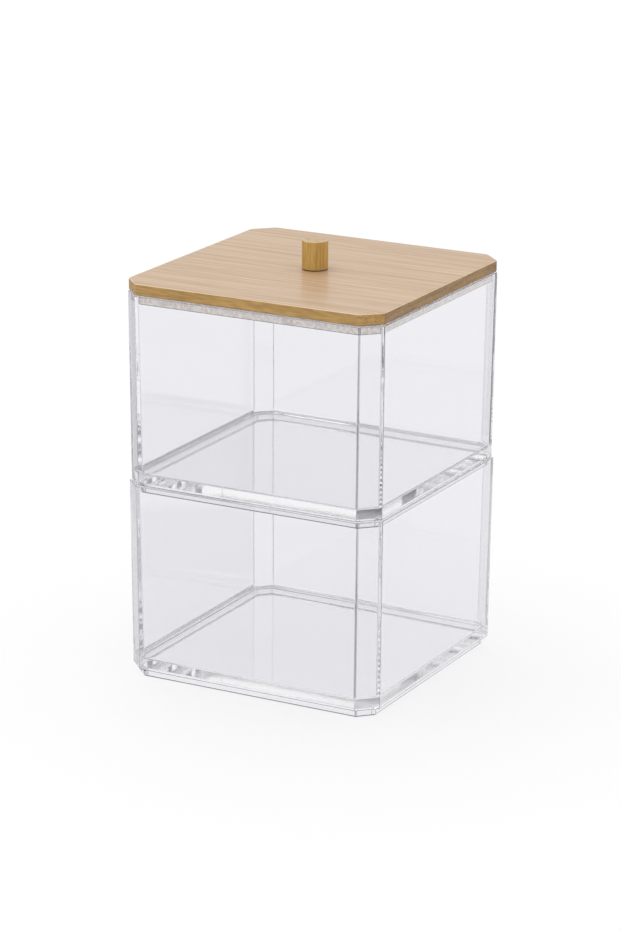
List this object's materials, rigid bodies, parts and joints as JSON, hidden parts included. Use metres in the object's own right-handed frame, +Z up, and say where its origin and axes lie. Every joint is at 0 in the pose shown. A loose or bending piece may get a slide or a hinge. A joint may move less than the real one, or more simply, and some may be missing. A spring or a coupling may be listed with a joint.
{
  "type": "cotton holder jar",
  "caption": "Clear stacking boxes with cut corners, nested by a locating foot under a bamboo lid with a turned knob; holds cotton swabs and cotton balls.",
  "frame": {"origin": "centre of the lower box's foot, on the surface that the jar stands on", "axes": "+Z up, -Y is the front, +X is to the right of the front; the plan is the same from all four sides"},
  "size_m": [0.092, 0.092, 0.1421],
  "materials": {
    "clear_acrylic": "clear, polished",
    "clear_plate": "clear, polished faces, sanded edge",
    "bamboo_board": "sanded bamboo, oiled, fine straight grain",
    "bamboo_knob": "turned bamboo, oiled, grain along its length",
    "screw_steel": "zinc plated"
  },
  "bodies": {
    "lower_box": {"lower_box": "clear_acrylic"},
    "upper_box": {"upper_box": "clear_acrylic"},
    "lid": {"lid_panel": "bamboo_board", "lid_locating_plate": "clear_plate", "knob": "bamboo_knob", "knob_screw": "screw_steel"}
  },
  "joints": [
    {"name": "upper_box_lift", "type": "slide", "parent": "lower_box", "child": "upper_box", "axis": [0, 0, 1], "range_m": [0, 0.08]},
    {"name": "lid_lift", "type": "slide", "parent": "upper_box", "child": "lid", "axis": [0, 0, 1], "range_m": [0, 0.08]}
  ]
}
